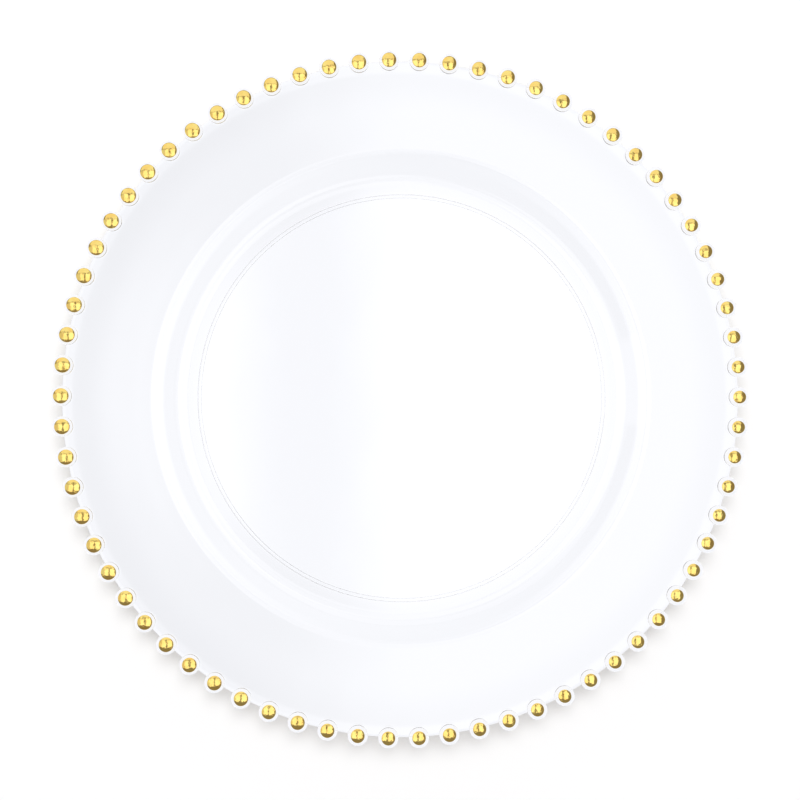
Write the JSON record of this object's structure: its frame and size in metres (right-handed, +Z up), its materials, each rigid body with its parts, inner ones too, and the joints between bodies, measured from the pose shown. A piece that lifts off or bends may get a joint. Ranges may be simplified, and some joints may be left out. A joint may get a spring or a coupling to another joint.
{
  "type": "charger plate",
  "caption": "Clear round charger plate with a shallow well, a wide gently rising rim and low gold beads set in domed bosses round its edge, to stand under a dinner plate.",
  "frame": {"origin": "middle of the foot ring's underside, on the surface that the plate stands on", "axes": "+Z up out of the well, +X through the middle of the first bead"},
  "size_m": [0.3302, 0.33, 0.0172],
  "materials": {
    "clear_acrylic": "polished",
    "gold_plate": "polished"
  },
  "bodies": {
    "root": {"plate_body": "clear_acrylic", "beads_01_02": "gold_plate", "bead_03": "gold_plate", "bead_04": "gold_plate", "bead_05": "gold_plate", "beads_06_07": "gold_plate", "bead_08": "gold_plate", "bead_09": "gold_plate", "bead_10": "gold_plate", "beads_11_12": "gold_plate", "bead_13": "gold_plate", "bead_14": "gold_plate", "bead_15": "gold_plate", "beads_16_17": "gold_plate", "bead_18": "gold_plate", "bead_19": "gold_plate", "bead_20": "gold_plate", "beads_21_22": "gold_plate", "bead_23": "gold_plate", "bead_24": "gold_plate", "bead_25": "gold_plate", "beads_26_27": "gold_plate", "bead_28": "gold_plate", "bead_29": "gold_plate", "bead_30": "gold_plate", "beads_31_32": "gold_plate", "bead_33": "gold_plate", "bead_34": "gold_plate", "bead_35": "gold_plate", "beads_36_37": "gold_plate", "bead_38": "gold_plate", "bead_39": "gold_plate", "bead_40": "gold_plate", "beads_41_42": "gold_plate", "bead_43": "gold_plate", "bead_44": "gold_plate", "bead_45": "gold_plate", "beads_46_47": "gold_plate", "bead_48": "gold_plate", "bead_49": "gold_plate", "bead_50": "gold_plate", "beads_51_52": "gold_plate", "bead_53": "gold_plate", "bead_54": "gold_plate", "bead_55": "gold_plate", "beads_56_57": "gold_plate", "bead_58": "gold_plate", "bead_59": "gold_plate", "bead_60": "gold_plate", "beads_61_62": "gold_plate", "bead_63": "gold_plate", "bead_64": "gold_plate", "bead_65": "gold_plate", "beads_66_67": "gold_plate", "bead_68": "gold_plate", "bead_69": "gold_plate", "bead_70": "gold_plate"}
  },
  "joints": []
}
